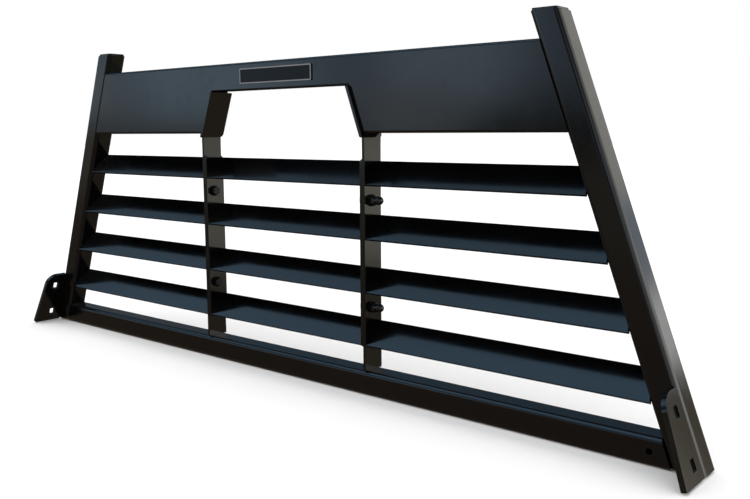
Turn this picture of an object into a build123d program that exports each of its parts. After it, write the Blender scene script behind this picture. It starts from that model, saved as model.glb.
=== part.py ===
from build123d import *
import math
import os

# Headache rack for a pickup truck, in millimetres.
# +X is across the truck, +Y points away from the front face of the rack, +Z is up.
# The origin is the middle of the rack's bounding box, on the level of the base rail's underside.

# ---- driving dimensions ------------------------------------------------------------------

TUBE = 50.8                # side of the square tube of the frame
TUBE_WALL = 3.2
TUBE_RADIUS = 9.5          # outside corner radius of the tube
LEAN = 20.3                # degrees that each upright leans inward from vertical
BASE_HALF = 933.0          # half the width over the uprights, at the rail's underside

UPRIGHT_FOOT = 4.5         # level of the uprights' lower ends
UPRIGHT_TOP = 731.0
CAP_THICKNESS = 4.5
CAP_INSET = 2.6

RAIL_HOLE_X = 842.0
RAIL_HOLE_DIAMETER = 11.1

SHEET = 3.2                # steel sheet of the top panel
BEND_RADIUS = 5.0          # outside radius of its bends along the top and bottom edges
NOTCH_RADIUS = 1.5         # the same along the top of the window notch, a welded corner
PANEL_BOTTOM = 530.8
PANEL_TOP = 685.5
WINDOW_TOP = 627.0
WINDOW_FLANGE = 49.0       # depth of the flanges folded back beside the window bars

BAR = 6.35                 # thickness of the flat bars
WINDOW_BAR_WIDTH = 63.5
WINDOW_BAR_HALF = 232.8    # window half width between the bars, at WINDOW_BAR_LEVEL
WINDOW_BAR_LEVEL = 545.0
WINDOW_BAR_FOOT = 522.5
WINDOW_BAR_TOP = 624.0
WINDOW_BAR_CORNER = 3.0
WINDOW_BAR_HEEL = 9.0      # larger radius of the lower back corner

DIVIDER_WIDTH = 50.8
INSERT_HALF = 241.8        # plane where the insert's end plates meet the frame's dividers
INSERT_FOOT = 99.6
INSERT_TOP = 480.0
INSERT_CORNER = 8.0

BLADE_ROWS = 4
BLADE_PITCH = 108.25
BLADE_FOOT = 102.4         # lowest edge of the lowest blades
BLADE_WIDTH = 63.5
BLADE_THICKNESS = 4.76
BLADE_TILT = 45.0          # degrees from vertical, upper edge further back

BRACKET_THICKNESS = 9.525
BRACKET_REACH = 74.5       # how far the foot stands in front of the tube, up to the sharp corner
BRACKET_TOP_REACH = 52.2   # the same at the top
BRACKET_FOOT = 5.0         # level of the plate's lower end, on its outer side
BRACKET_TOP = 140.0
BRACKET_TOE = 3.0          # corner radius at the foot
BRACKET_CORNER = 32.0      # corner radius at the top
SLOT_WIDTH = 15.0
SLOT_LENGTH = 20.0
SLOT_CORNER = 1.5
SLOT_SETBACK = 26.0        # slots' centre line in front of the tube
SLOT_LEVELS = (31.0, 108.5)

BOLT_DIAMETER = 9.5
BOLT_SETBACK = 20.4        # bolts' centre line behind the front plane
BOLT_LEVELS = (181.6, 398.1)
HOLE_CLEARANCE = 1.0
THREAD_CLEARANCE = 0.2
WASHER_DIAMETER = 24.5
WASHER_THICKNESS = 2.5
HEX_FLATS = 18.5           # across the flats of bolt heads and nuts
HEX_HEIGHT = 8.5           # of bolt heads, plain nuts and the cap nuts' hexagons
HEX_CHAMFER = 1.0
CAP_NUT_LENGTH = 27.0
CAP_NUT_DIAMETER = 17.0
PLAIN_NUT_REACH = 10.0     # bolt end beyond the outer washer on the left, with plain nuts
CAP_NUT_REACH = 19.0       # the same on the right, inside the cap nuts

BADGE_LENGTH = 218.0
BADGE_HEIGHT = 34.0
BADGE_THICKNESS = 3.0
BADGE_LEVEL = 655.5
BADGE_RIM = 3.0
BADGE_RECESS = 1.0

# ---- sizes that follow from them ---------------------------------------------------------

SLOPE = math.tan(math.radians(LEAN))
LEAN_COS = math.cos(math.radians(LEAN))
LEAN_SIN = math.sin(math.radians(LEAN))
BAR_PROUD = (WINDOW_BAR_WIDTH - TUBE) / 2
BRACKET_ANGLE = math.atan2(
    (BRACKET_TOP - BRACKET_FOOT) / LEAN_COS, BRACKET_REACH - BRACKET_TOP_REACH
)
BRACKET_TIP = BRACKET_REACH - BRACKET_TOE * (1 / math.tan(BRACKET_ANGLE / 2) - 1)
FACE_Y = (BRACKET_TIP - TUBE - BAR_PROUD) / 2      # front plane of tubes, blades and panel
MID_Y = FACE_Y + TUBE / 2
BOLT_Y = FACE_Y + BOLT_SETBACK

TILT_COS = math.cos(math.radians(BLADE_TILT))
TILT_SIN = math.sin(math.radians(BLADE_TILT))
BLADE_RISE = BLADE_WIDTH * TILT_COS + BLADE_THICKNESS * TILT_SIN
BLADE_DEPTH = BLADE_WIDTH * TILT_SIN + BLADE_THICKNESS * TILT_COS

SIDES = {"left": -1, "right": 1}

os.makedirs("parts", exist_ok=True)


def save(part, name):
    part.label = name
    export_step(part, f"parts/{name}.step")


def outer_x(level):
    """Half width over the uprights' outer sides at a level."""
    return BASE_HALF - SLOPE * level


def inner_x(level):
    """Half width between the uprights' inner sides at a level."""
    return outer_x(level) - TUBE / LEAN_COS


def window_x(level):
    """Half width between the window bars at a level."""
    return WINDOW_BAR_HALF - SLOPE * (level - WINDOW_BAR_LEVEL)


def notch_x(level):
    """Half width of the panel's window notch, which the bars line."""
    return window_x(level) + BAR / LEAN_COS


def lean_plane(side, setback=0.0):
    """Plane parallel to an upright's outer side, moved inward by setback.

    Its origin is level with the rail's underside, x runs along side * Y, y runs up along the
    lean and z points outward.
    """
    outward = Vector(side * LEAN_COS, 0, LEAN_SIN)
    origin = Vector(side * BASE_HALF, 0, 0) - outward * setback
    return Plane(origin=origin, x_dir=(0, side, 0), z_dir=outward)


def side_shift(side, depth, level):
    """Point of a lean_plane sketch at a depth (Y) and a level (Z) on the outer side."""
    return (side * depth, level / LEAN_COS)


# ---- frame tubes -------------------------------------------------------------------------


def tube_section():
    """Outline of the square tube, about the origin of the sketch."""
    RectangleRounded(TUBE, TUBE, TUBE_RADIUS)
    RectangleRounded(
        TUBE - 2 * TUBE_WALL, TUBE - 2 * TUBE_WALL, TUBE_RADIUS - TUBE_WALL, mode=Mode.SUBTRACT
    )


def upright_plane(side):
    """Plane across an upright, with its origin on the tube's centre line."""
    outer = lean_plane(side)
    centre = outer.origin - outer.z_dir * (TUBE / 2) + Vector(0, MID_Y, 0)
    return Plane(origin=centre, x_dir=outer.x_dir, z_dir=outer.y_dir)


def upright_blank(side):
    """An upright's envelope without its bore, longer than the upright at both ends."""
    with BuildPart() as blank:
        with BuildSketch(upright_plane(side)):
            RectangleRounded(TUBE, TUBE, TUBE_RADIUS)
        extrude(amount=2 * BASE_HALF, both=True)
    return blank.part


def make_upright(side, name):
    with BuildPart() as upright:
        with BuildSketch(upright_plane(side)):
            tube_section()
        extrude(amount=2 * BASE_HALF, both=True)
        split(bisect_by=Plane.XY.offset(UPRIGHT_TOP), keep=Keep.BOTTOM)
        split(bisect_by=Plane.XY.offset(UPRIGHT_FOOT), keep=Keep.TOP)
    save(upright.part, name)


def make_upright_cap(side, name):
    middle = side * (outer_x(UPRIGHT_TOP) + inner_x(UPRIGHT_TOP)) / 2
    with BuildPart() as cap:
        with BuildSketch(Plane(origin=(middle, MID_Y, UPRIGHT_TOP), z_dir=(0, 0, 1))):
            RectangleRounded(
                TUBE / LEAN_COS - 2 * CAP_INSET, TUBE - 2 * CAP_INSET, TUBE_RADIUS - CAP_INSET
            )
        extrude(amount=CAP_THICKNESS / LEAN_COS, dir=lean_plane(side).y_dir)
        fillet(cap.faces().sort_by(Axis.Z)[-1].edges(), radius=CAP_THICKNESS / 4)
    save(cap.part, name)


def make_base_rail():
    with BuildPart() as base_rail:
        with BuildSketch(Plane.YZ):
            with Locations((MID_Y, TUBE / 2)):
                tube_section()
        extrude(amount=BASE_HALF, both=True)
        for side in SIDES.values():
            split(bisect_by=lean_plane(side, TUBE), keep=Keep.BOTTOM)
        with BuildSketch(Plane.XZ.offset(-FACE_Y)):
            with Locations((-RAIL_HOLE_X, TUBE / 2), (RAIL_HOLE_X, TUBE / 2)):
                Circle(RAIL_HOLE_DIAMETER / 2)
        extrude(amount=-2 * TUBE_WALL, mode=Mode.SUBTRACT)
    save(base_rail.part, "base_rail")


# ---- top panel and window surround -------------------------------------------------------


def panel_corners(bottom, notch_top, top):
    """Corners of a trapezium that runs into the uprights, with the window notch below."""
    right = [
        (inner_x(top) + TUBE_WALL, top),
        (inner_x(bottom) + TUBE_WALL, bottom),
        (notch_x(bottom), bottom),
        (notch_x(notch_top), notch_top),
    ]
    left = [(-x, level) for x, level in reversed(right)]
    return right + left


def panel_block(thickness):
    """The panel's envelope set in by a thickness from its front and its folded edges."""
    corners = panel_corners(PANEL_BOTTOM + thickness, WINDOW_TOP + thickness, PANEL_TOP - thickness)
    with BuildPart() as block:
        with BuildSketch(Plane.XZ.offset(-FACE_Y - thickness)):
            with BuildLine():
                Polyline(*corners, close=True)
            make_face()
        extrude(amount=-TUBE)
        foot, _, top = block.edges().filter_by(Axis.X).group_by(Axis.Y)[0].group_by(Axis.Z)
        fillet([*foot, *top], radius=BEND_RADIUS - thickness)
    return block.part


def make_top_panel():
    """Sheet with flanges folded back at its top, bottom and window edges, cut to the uprights."""
    flange_foot = PANEL_BOTTOM + SHEET / 2
    flange_top = WINDOW_TOP + SHEET
    with BuildPart() as top_panel:
        add(panel_block(0))
        notch_edges = top_panel.edges().filter_by(Axis.X)
        fillet(notch_edges.sort_by_distance((0, FACE_Y, WINDOW_TOP))[0], radius=NOTCH_RADIUS)
        add(panel_block(SHEET), mode=Mode.SUBTRACT)
        for side in SIDES.values():
            add(upright_blank(side), mode=Mode.SUBTRACT)
            with BuildSketch(Plane.XZ.offset(-FACE_Y - SHEET / 2)):
                with BuildLine():
                    Polyline(
                        (side * notch_x(flange_foot), flange_foot),
                        (side * (notch_x(flange_foot) + SHEET / LEAN_COS), flange_foot),
                        (side * (notch_x(flange_top) + SHEET / LEAN_COS), flange_top),
                        (side * notch_x(flange_top), flange_top),
                        close=True,
                    )
                make_face()
            extrude(amount=SHEET / 2 - WINDOW_FLANGE)
    save(top_panel.part, "top_panel")


def make_window_bar(side, name):
    """Bar beside the window, against the panel's flange and proud of the panel's face."""
    with BuildPart() as bar:
        with BuildSketch(Plane.XZ.offset(-MID_Y)):
            with BuildLine():
                Polyline(
                    (side * window_x(WINDOW_BAR_FOOT), WINDOW_BAR_FOOT),
                    (side * notch_x(WINDOW_BAR_FOOT), WINDOW_BAR_FOOT),
                    (side * notch_x(WINDOW_BAR_TOP), WINDOW_BAR_TOP),
                    (side * window_x(WINDOW_BAR_TOP), WINDOW_BAR_TOP),
                    close=True,
                )
            make_face()
        extrude(amount=WINDOW_BAR_WIDTH / 2, both=True)
        corners = bar.edges().filter_by(Axis.X)
        upper_back = corners.group_by(Axis.Y)[-1].sort_by(Axis.Z)[-1]
        fillet([*corners.group_by(Axis.Y)[0], upper_back], radius=WINDOW_BAR_CORNER)
        lower_back = bar.edges().filter_by(Axis.X).group_by(Axis.Z)[0].sort_by(Axis.Y)[-1]
        fillet(lower_back, radius=WINDOW_BAR_HEEL)
    save(bar.part, name)


def make_badge():
    with BuildPart() as badge:
        with BuildSketch(Plane.XZ.offset(-FACE_Y)):
            with Locations((0, BADGE_LEVEL)):
                RectangleRounded(BADGE_LENGTH, BADGE_HEIGHT, BADGE_RIM)
        extrude(amount=BADGE_THICKNESS)
        chamfer(badge.faces().sort_by(Axis.Y)[0].edges(), length=BADGE_RECESS / 2)
        with BuildSketch(Plane.XZ.offset(BADGE_THICKNESS - FACE_Y)):
            with Locations((0, BADGE_LEVEL)):
                RectangleRounded(
                    BADGE_LENGTH - 2 * BADGE_RIM, BADGE_HEIGHT - 2 * BADGE_RIM, BADGE_RIM / 2
                )
        extrude(amount=-BADGE_RECESS, mode=Mode.SUBTRACT)
    save(badge.part, "badge")


# ---- dividers and the ends of the centre insert ------------------------------------------


def make_divider(side, name):
    """Flat bar from the rail up to the window bar, with the insert's bolt holes."""
    middle = (side * (INSERT_HALF + BAR / 2), MID_Y)
    with BuildPart() as divider:
        with BuildSketch(Plane.XY.offset(TUBE)):
            with Locations(middle):
                Rectangle(BAR, DIVIDER_WIDTH)
        extrude(amount=WINDOW_BAR_FOOT - TUBE)
        with BuildSketch(Plane.YZ.offset(side * INSERT_HALF)):
            with Locations(*[(BOLT_Y, level) for level in BOLT_LEVELS]):
                Circle((BOLT_DIAMETER + HOLE_CLEARANCE) / 2)
        extrude(amount=side * BAR, mode=Mode.SUBTRACT)
    save(divider.part, name)


def make_insert_plate(side, name):
    """End plate of the insert, with the same bolt holes as the divider."""
    level = (INSERT_TOP + INSERT_FOOT) / 2
    with BuildPart() as plate:
        with BuildSketch(Plane.YZ.offset(side * INSERT_HALF)):
            with Locations((MID_Y, level)):
                RectangleRounded(DIVIDER_WIDTH, INSERT_TOP - INSERT_FOOT, INSERT_CORNER)
            with Locations(*[(BOLT_Y, bolt_level) for bolt_level in BOLT_LEVELS]):
                Circle((BOLT_DIAMETER + HOLE_CLEARANCE) / 2, mode=Mode.SUBTRACT)
        extrude(amount=-side * BAR)
    save(plate.part, name)


# ---- louvre blades -----------------------------------------------------------------------


def make_blade(row, start, end, name):
    """One blade from x = start to x = end, trimmed to the uprights' inner sides."""
    level = BLADE_FOOT + row * BLADE_PITCH + BLADE_RISE / 2
    with BuildPart() as blade:
        with BuildSketch(Plane.YZ.offset(start)):
            with Locations((FACE_Y + BLADE_DEPTH / 2, level)):
                Rectangle(BLADE_THICKNESS, BLADE_WIDTH, rotation=-BLADE_TILT)
        extrude(amount=end - start)
        for side in SIDES.values():
            split(bisect_by=lean_plane(side, TUBE), keep=Keep.BOTTOM)
    save(blade.part, name)


# ---- mounting brackets -------------------------------------------------------------------


def make_bracket(side, name):
    """Plate flush with the upright's outer side, standing out in front of it."""
    slots = [side_shift(side, FACE_Y - SLOT_SETBACK, level) for level in SLOT_LEVELS]
    with BuildPart() as bracket:
        with BuildSketch(lean_plane(side)) as outline:
            with BuildLine():
                Polyline(
                    side_shift(side, FACE_Y, BRACKET_FOOT),
                    side_shift(side, FACE_Y - BRACKET_REACH, BRACKET_FOOT),
                    side_shift(side, FACE_Y - BRACKET_TOP_REACH, BRACKET_TOP),
                    side_shift(side, FACE_Y, BRACKET_TOP),
                    close=True,
                )
            make_face()
            top_corners = outline.vertices().group_by(Axis.Y)[-1]
            fillet(top_corners.sort_by(Axis.X)[0 if side > 0 else -1], radius=BRACKET_CORNER)
            foot_corners = outline.vertices().group_by(Axis.Y)[0]
            fillet(foot_corners.sort_by(Axis.X)[0 if side > 0 else -1], radius=BRACKET_TOE)
            with Locations(*slots):
                RectangleRounded(SLOT_WIDTH, SLOT_LENGTH, SLOT_CORNER, mode=Mode.SUBTRACT)
        extrude(amount=-BRACKET_THICKNESS)
    save(bracket.part, name)


# ---- fasteners of the insert -------------------------------------------------------------


def bolt_planes(side, distance):
    """Planes across one side's bolts at |x| = distance, z pointing outward."""
    return [
        Plane(origin=(side * distance, BOLT_Y, level), x_dir=(0, 1, 0), z_dir=(side, 0, 0))
        for level in BOLT_LEVELS
    ]


def hexagon():
    """Outline of bolt heads and nuts, about the origin of the sketch."""
    RegularPolygon(HEX_FLATS / 2, 6, major_radius=False, rotation=30)


def make_bolt(reach):
    """Hexagon bolt that stands on the inner washer, with its end reach beyond the outer one."""
    with BuildPart() as bolt:
        with BuildSketch():
            hexagon()
        extrude(amount=-HEX_HEIGHT)
        chamfer(bolt.faces().sort_by(Axis.Z)[0].edges(), length=HEX_CHAMFER)
        with BuildSketch():
            Circle(BOLT_DIAMETER / 2)
        extrude(amount=2 * WASHER_THICKNESS + 2 * BAR + reach)
        chamfer(bolt.edges().sort_by(Axis.Z)[-1], length=HEX_CHAMFER)
    return bolt.part


def make_bolts():
    """Bolts from inside the insert, shorter on the left."""
    bolts = {-1: make_bolt(PLAIN_NUT_REACH), 1: make_bolt(CAP_NUT_REACH)}
    with BuildPart() as insert_bolts:
        for side, bolt in bolts.items():
            for plane in bolt_planes(side, INSERT_HALF - BAR - WASHER_THICKNESS):
                add(bolt.moved(plane.location))
    save(insert_bolts.part, "insert_bolts")


def make_washers():
    """Washers under the bolt heads and under the nuts."""
    with BuildPart() as insert_washers:
        for side in SIDES.values():
            for distance in (INSERT_HALF - BAR - WASHER_THICKNESS, INSERT_HALF + BAR):
                for plane in bolt_planes(side, distance):
                    with BuildSketch(plane):
                        Circle(WASHER_DIAMETER / 2)
                        Circle((BOLT_DIAMETER + HOLE_CLEARANCE) / 2, mode=Mode.SUBTRACT)
                    extrude(amount=WASHER_THICKNESS)
    save(insert_washers.part, "insert_washers")


def make_plain_nuts():
    with BuildPart() as nut:
        with BuildSketch():
            hexagon()
        extrude(amount=HEX_HEIGHT)
        chamfer(nut.faces().sort_by(Axis.Z)[-1].edges(), length=HEX_CHAMFER)
        with BuildSketch():
            Circle((BOLT_DIAMETER + THREAD_CLEARANCE) / 2)
        extrude(amount=HEX_HEIGHT, mode=Mode.SUBTRACT)
    with BuildPart() as insert_nuts:
        for plane in bolt_planes(-1, INSERT_HALF + BAR + WASHER_THICKNESS):
            add(nut.part.moved(plane.location))
    save(insert_nuts.part, "insert_nuts")


def make_cap_nuts():
    """Cap nuts: hexagon base, round cap closed by a half ball, blind bore."""
    dome = CAP_NUT_DIAMETER / 2
    with BuildPart() as nut:
        with BuildSketch():
            hexagon()
        extrude(amount=HEX_HEIGHT)
        chamfer(nut.faces().sort_by(Axis.Z)[-1].edges(), length=HEX_CHAMFER)
        with BuildSketch():
            Circle(dome)
        extrude(amount=CAP_NUT_LENGTH - dome)
        with Locations((0, 0, CAP_NUT_LENGTH - dome)):
            Sphere(dome)
        with BuildSketch():
            Circle((BOLT_DIAMETER + THREAD_CLEARANCE) / 2)
        extrude(amount=CAP_NUT_REACH + HOLE_CLEARANCE, mode=Mode.SUBTRACT)
    with BuildPart() as insert_cap_nuts:
        for plane in bolt_planes(1, INSERT_HALF + BAR + WASHER_THICKNESS):
            add(nut.part.moved(plane.location))
    save(insert_cap_nuts.part, "insert_cap_nuts")


# ---- build -------------------------------------------------------------------------------

make_base_rail()
make_top_panel()
make_badge()
make_bolts()
make_washers()
make_plain_nuts()
make_cap_nuts()

for hand, hand_side in SIDES.items():
    make_upright(hand_side, f"{hand}_upright")
    make_upright_cap(hand_side, f"{hand}_upright_cap")
    make_bracket(hand_side, f"{hand}_bracket")
    make_window_bar(hand_side, f"{hand}_window_bar")
    make_divider(hand_side, f"{hand}_divider")
    make_insert_plate(hand_side, f"{hand}_insert_plate")

divider_outside = INSERT_HALF + BAR
plate_inside = INSERT_HALF - BAR
for blade_row in range(BLADE_ROWS):
    number = blade_row + 1
    make_blade(blade_row, -BASE_HALF, -divider_outside, f"left_blade_{number}")
    make_blade(blade_row, -plate_inside, plate_inside, f"insert_blade_{number}")
    make_blade(blade_row, divider_outside, BASE_HALF, f"right_blade_{number}")
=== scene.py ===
import math

import bpy
from mathutils import Matrix, Vector


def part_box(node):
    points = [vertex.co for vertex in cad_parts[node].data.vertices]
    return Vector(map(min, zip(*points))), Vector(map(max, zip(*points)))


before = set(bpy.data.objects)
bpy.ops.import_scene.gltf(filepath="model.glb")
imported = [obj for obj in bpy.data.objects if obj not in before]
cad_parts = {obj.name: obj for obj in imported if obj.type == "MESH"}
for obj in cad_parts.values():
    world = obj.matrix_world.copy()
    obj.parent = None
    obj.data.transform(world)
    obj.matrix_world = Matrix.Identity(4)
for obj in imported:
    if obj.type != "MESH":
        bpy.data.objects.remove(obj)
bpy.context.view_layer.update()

scene = bpy.context.scene
scene.view_settings.view_transform = "Standard"


# ---- camera ------------------------------------------------------------------------------

LENS = 41.2136  # mm
SENSOR_WIDTH = 36  # mm
FAR_CLIP = 200  # m
EYE = Vector((1.34962, -1.278715, 0.53486))
YAW, PITCH, ROLL = -0.696, 0.1371, 0.0054  # radians


def add_camera():
    ahead = Vector((math.sin(YAW) * math.cos(PITCH), math.cos(YAW) * math.cos(PITCH), -math.sin(PITCH)))
    level = Vector((math.cos(YAW), -math.sin(YAW), 0))
    down = ahead.cross(level)
    right = math.cos(ROLL) * level + math.sin(ROLL) * down
    up = math.sin(ROLL) * level - math.cos(ROLL) * down
    data = bpy.data.cameras.new("camera")
    data.lens = LENS
    data.sensor_width = SENSOR_WIDTH
    data.clip_end = FAR_CLIP
    camera = bpy.data.objects.new("camera", data)
    scene.collection.objects.link(camera)
    turn = Matrix((right, up, -ahead)).transposed()
    camera.matrix_world = Matrix.Translation(EYE) @ turn.to_4x4()
    scene.camera = camera


# ---- node helpers ------------------------------------------------------------------------


class Nodes:
    """Short calls for building a node tree."""

    def __init__(self, tree):
        self.tree = tree
        tree.nodes.clear()

    def add(self, kind, inputs=None, **settings):
        node = self.tree.nodes.new(kind)
        for key, value in settings.items():
            setattr(node, key, value)
        for key, value in (inputs or {}).items():
            self.feed(value, node.inputs[key])
        return node

    def feed(self, value, socket):
        if isinstance(value, bpy.types.NodeSocket):
            self.tree.links.new(value, socket)
        else:
            socket.default_value = value

    def math(self, operation, a, b=0.0, clamp=False):
        node = self.add("ShaderNodeMath", {0: a, 1: b}, operation=operation, use_clamp=clamp)
        return node.outputs[0]

    def smooth(self, value, low, high, out_low=0.0, out_high=1.0):
        node = self.add(
            "ShaderNodeMapRange",
            {"Value": value, "From Min": low, "From Max": high, "To Min": out_low, "To Max": out_high},
            interpolation_type="SMOOTHSTEP",
        )
        return node.outputs["Result"]

    def mix(self, amount, first, second):
        def colour(value):
            return value if isinstance(value, bpy.types.NodeSocket) else (*value, 1.0)

        node = self.add(
            "ShaderNodeMixRGB", {"Fac": amount, "Color1": colour(first), "Color2": colour(second)}
        )
        return node.outputs[0]

    def noise(self, vector, scale, detail=2.0, rough=0.5):
        node = self.add(
            "ShaderNodeTexNoise", {"Vector": vector, "Scale": scale, "Detail": detail, "Roughness": rough}
        )
        return node.outputs["Fac"]


# ---- materials ---------------------------------------------------------------------------
# Noise scales are per metre, and lengths are in metres.

CLOUD_SCALE = 6.0
HANDLING_SCALE = 38.0
GRAIN_SCALE = 900.0
SPECK_SCALE = 500.0
EDGE_SAMPLES = 6
PEEL_DEPTH = 0.0004
DUST = (0.0065, 0.0062, 0.0058)

BADGE_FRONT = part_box("badge")[0][1]
BADGE_EDGE_RADIUS = 0.0004
RIM_ENDS = 0.0001
FIELD_STARTS = 0.0004
SPECK_DEPTH = 0.0002


def new_material(name):
    material = bpy.data.materials.new(name)
    material.use_nodes = True
    return material, Nodes(material.node_tree)


def coat(name, tone, wear_tone, rough, peel, peel_scale, edge_radius, ior=1.5):
    """Black coating: fine orange peel, uneven gloss, faint dust on top, slight wear at edges."""
    material, n = new_material(name)
    place = n.add("ShaderNodeTexCoord").outputs["Object"]
    cloud = n.noise(place, CLOUD_SCALE, 3.0)
    handling = n.noise(place, HANDLING_SCALE, 4.0, 0.6)
    grain = n.noise(place, GRAIN_SCALE, 2.0)
    skin = n.noise(place, peel_scale, 1.0)

    geometry = n.add("ShaderNodeNewGeometry").outputs["Normal"]
    bevel = n.add("ShaderNodeBevel", {"Radius": edge_radius}, samples=EDGE_SAMPLES).outputs["Normal"]
    facing = n.add("ShaderNodeVectorMath", {0: geometry, 1: bevel}, operation="DOT_PRODUCT")
    on_edge = n.smooth(facing.outputs["Value"], 0.995, 0.86)
    worn = n.math("MULTIPLY", on_edge, n.smooth(handling, 0.42, 0.66))
    level = n.add("ShaderNodeSeparateXYZ", {0: geometry}).outputs["Z"]
    dust = n.math("MULTIPLY", n.smooth(level, 0.75, 1.0), n.smooth(handling, 0.35, 0.75, 0.15, 0.6))

    plain = n.mix(n.smooth(cloud, 0.35, 0.65), [c * 0.85 for c in tone], [c * 1.2 for c in tone])
    dusty = n.mix(dust, plain, DUST)
    colour = n.mix(worn, dusty, wear_tone)
    broad = n.smooth(cloud, 0.3, 0.7, rough - 0.02, rough + 0.02)
    gloss = n.math("ADD", broad, n.smooth(grain, 0.3, 0.7, -0.012, 0.012))
    gloss = n.math("ADD", gloss, n.smooth(handling, 0.5, 0.75, 0.0, 0.035))
    gloss = n.math("ADD", gloss, n.math("MULTIPLY", worn, 0.12))
    relief = n.add(
        "ShaderNodeBump", {"Height": skin, "Strength": peel, "Distance": PEEL_DEPTH, "Normal": bevel}
    ).outputs["Normal"]
    shader = n.add(
        "ShaderNodeBsdfPrincipled",
        {"Base Color": colour, "Roughness": gloss, "Normal": relief, "IOR": ior},
    )
    n.add("ShaderNodeOutputMaterial", {"Surface": shader.outputs[0]})
    return material


def badge_plate():
    """Blank plate: dark enamel field inside a plain satin rim."""
    material, n = new_material("badge_enamel")
    place = n.add("ShaderNodeTexCoord").outputs["Object"]
    depth = n.add("ShaderNodeSeparateXYZ", {0: place}).outputs["Y"]
    rim = n.smooth(depth, BADGE_FRONT + FIELD_STARTS, BADGE_FRONT + RIM_ENDS)
    along = n.add("ShaderNodeMapping", {"Vector": place, "Scale": (30, 400, 1200)}).outputs[0]
    brushed = n.noise(along, 1.0)
    speck = n.noise(place, SPECK_SCALE)
    enamel = n.mix(speck, (0.003, 0.0038, 0.0052), (0.005, 0.006, 0.0082))
    satin = n.mix(brushed, (0.10, 0.10, 0.105), (0.19, 0.19, 0.20))
    edge = n.add("ShaderNodeBevel", {"Radius": BADGE_EDGE_RADIUS}, samples=EDGE_SAMPLES).outputs["Normal"]
    relief = n.add(
        "ShaderNodeBump", {"Height": speck, "Strength": 0.03, "Distance": SPECK_DEPTH, "Normal": edge}
    ).outputs["Normal"]
    gloss = n.math("ADD", n.smooth(rim, 0.0, 1.0, 0.22, 0.32), n.smooth(speck, 0.3, 0.7, -0.02, 0.02))
    shader = n.add(
        "ShaderNodeBsdfPrincipled",
        {
            "Base Color": n.mix(rim, enamel, satin),
            "Roughness": gloss,
            "Normal": relief,
            "IOR": 1.22,
        },
    )
    n.add("ShaderNodeOutputMaterial", {"Surface": shader.outputs[0]})
    return material


def assign_materials():
    powder = coat(
        "powder_coat_black", tone=(0.0010, 0.0010, 0.0011), wear_tone=(0.009, 0.009, 0.0095),
        rough=0.12, peel=0.05, peel_scale=330.0, edge_radius=0.0008,
    )
    steel = {"tone": (0.002, 0.002, 0.0022), "wear_tone": (0.012, 0.0115, 0.011)}
    nuts = coat(
        "nuts_black_oxide", **steel, rough=0.2, peel=0.03, peel_scale=600.0, edge_radius=0.0004,
    )
    bolts = coat(
        "bolts_black_oxide", **steel, rough=0.28, peel=0.04, peel_scale=600.0, edge_radius=0.0004, ior=1.3,
    )
    washers = coat(
        "washers_matt_black", **steel, rough=0.35, peel=0.04, peel_scale=700.0, edge_radius=0.0003, ior=1.2,
    )
    chosen = {
        "insert_bolts": bolts,
        "insert_washers": washers,
        "insert_nuts": nuts,
        "insert_cap_nuts": nuts,
        "badge": badge_plate(),
    }
    for name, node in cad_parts.items():
        for slot in node.material_slots:
            slot.material = chosen.get(name, powder)


# ---- surroundings ------------------------------------------------------------------------

FLOOR_LIGHT = 1.35


class Surroundings:
    """Soft light that only reflections see, built from patches in azimuth and elevation.

    Azimuth is 0 in front of the rack, 90 to its right and -90 to its left, in degrees.
    """

    def __init__(self, n):
        self.n = n
        direction = n.add("ShaderNodeTexCoord").outputs["Generated"]
        parts = n.add("ShaderNodeSeparateXYZ", {0: direction}).outputs
        front = n.math("MULTIPLY", parts["Y"], -1.0)
        self.azimuth = n.math("MULTIPLY", n.math("ARCTAN2", parts["X"], front), 180 / math.pi)
        self.elevation = n.math("MULTIPLY", n.math("ARCSINE", parts["Z"]), 180 / math.pi)
        self.total = None

    def band(self, value, centre, half, soft):
        off = self.n.math("ABSOLUTE", self.n.math("SUBTRACT", value, centre))
        return self.n.smooth(off, half, half + soft, 1.0, 0.0)

    def ground(self, at_horizon, below):
        rise = self.n.smooth(self.elevation, -14.0, 0.0)
        self.total = self.n.mix(rise, below, at_horizon)

    def sky(self, colour):
        up = self.n.smooth(self.elevation, -1.5, 2.5)
        self.total = self.n.mix(up, self.total, colour)

    def patch(self, azimuth, elevation, colour):
        """azimuth and elevation are (centre, half width, soft edge)."""
        amount = self.n.math(
            "MULTIPLY", self.band(self.azimuth, *azimuth), self.band(self.elevation, *elevation)
        )
        self.total = self.n.mix(amount, self.total, colour)


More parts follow.
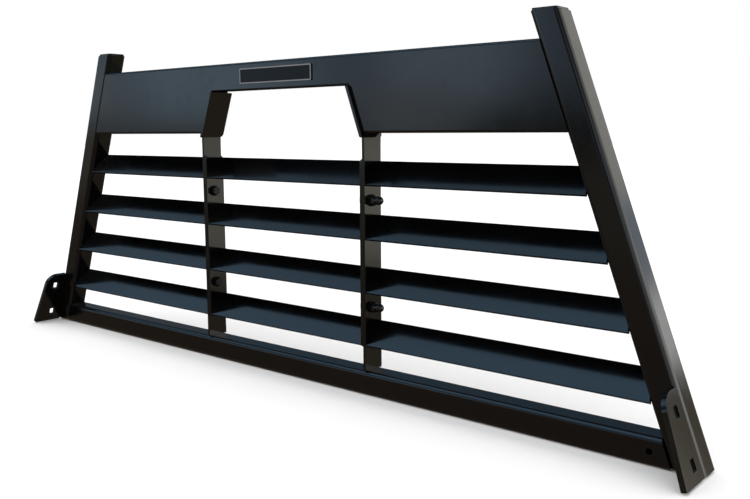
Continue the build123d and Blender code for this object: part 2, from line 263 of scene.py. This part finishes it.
def add_world():
    """The camera sees white, matt surfaces see even light, and reflections see the patches."""
    world = bpy.data.worlds.new("studio")
    scene.world = world
    world.use_nodes = True
    world.cycles.sampling_method = "NONE"
    n = Nodes(world.node_tree)
    light = Surroundings(n)
    light.ground((0.30, 0.27, 0.21), (0.17, 0.13, 0.10))
    light.sky((0.11, 0.13, 0.15))
    # ahead, to the left
    light.patch((-45, 35, 25), (20, 8, 6), (0.095, 0.155, 0.22))
    light.patch((-58, 38, 15), (8, 3, 6.5), (0.45, 0.60, 0.76))
    light.patch((-44, 12, 48), (52, 16, 14), (0.62, 1.04, 1.46))
    light.patch((-49, 3, 6), (3, 1.2, 2.5), (0.95, 1.30, 1.60))
    light.patch((-35, 2, 5), (5.5, 2.6, 3.5), (1.08, 1.42, 1.72))
    light.patch((-37.5, 2, 2.5), (0.9, 1.2, 1.6), (0.80, 0.90, 1.00))
    light.patch((-28, 3, 3.5), (-0.3, 1.2, 1.6), (0.09, 0.09, 0.08))
    light.patch((-61, 2.5, 3), (2.6, 1.0, 1.4), (0.80, 0.90, 0.97))
    light.patch((-64, 8, 18), (-11, 5, 4), (0.13, 0.107, 0.078))
    # behind, to the left
    light.patch((-150, 45, 25), (20, 12, 10), (0.063, 0.105, 0.145))
    light.patch((-125, 20, 25), (36, 5, 14), (0.13, 0.20, 0.29))
    light.patch((-120, 5, 12), (10, 2, 3), (0.12, 0.135, 0.15))
    light.patch((-150, 45, 25), (-12, 16, 4), (0.01, 0.01, 0.01))
    # ahead, to the right
    light.patch((65, 25, 35), (6, 14, 14), (0.86, 0.94, 1.02))
    # behind, to the right
    light.patch((115, 20, 25), (26, 8, 12), (1.60, 1.60, 1.50))
    light.patch((110, 22, 14), (11, 5, 8), (2.90, 2.90, 2.75))
    light.patch((135, 40, 30), (-22, 12, 14), (0.25, 0.20, 0.14))
    light.patch((135, 12, 7), (-4, 3, 3.5), (1.30, 1.26, 1.08))
    light.patch((160, 9, 8), (17, 7, 2), (1.35, 1.32, 1.24))
    light.patch((157, 8, 6), (9, 1.8, 1.4), (0.70, 0.82, 0.95))
    light.patch((156, 8, 6), (3.6, 1.5, 2.0), (2.20, 2.20, 2.16))
    reflected = n.add("ShaderNodeBackground", {"Color": light.total, "Strength": 1.0}).outputs[0]
    white = n.add("ShaderNodeBackground", {"Color": (1, 1, 1, 1), "Strength": 1.0}).outputs[0]
    even = n.add("ShaderNodeBackground", {"Color": (1, 1, 1, 1), "Strength": FLOOR_LIGHT}).outputs[0]
    path = n.add("ShaderNodeLightPath").outputs
    mix = n.add("ShaderNodeMixShader", {0: path["Is Diffuse Ray"], 1: reflected, 2: even}).outputs[0]
    mix = n.add("ShaderNodeMixShader", {0: path["Is Camera Ray"], 1: mix, 2: white}).outputs[0]
    n.add("ShaderNodeOutputWorld", {"Surface": mix})


FLOOR_SIZE = 60
FLOOR_TONE = 0.9


def add_floor():
    bpy.ops.mesh.primitive_plane_add(size=FLOOR_SIZE, location=(0, 0, 0))
    floor = bpy.context.object
    floor.name = "floor"
    material, n = new_material("floor_pale")
    shader = n.add("ShaderNodeBsdfDiffuse", {"Color": (FLOOR_TONE, FLOOR_TONE, FLOOR_TONE, 1)})
    n.add("ShaderNodeOutputMaterial", {"Surface": shader.outputs[0]})
    floor.data.materials.append(material)
    floor.visible_glossy = False


add_camera()
assign_materials()
add_world()
add_floor()
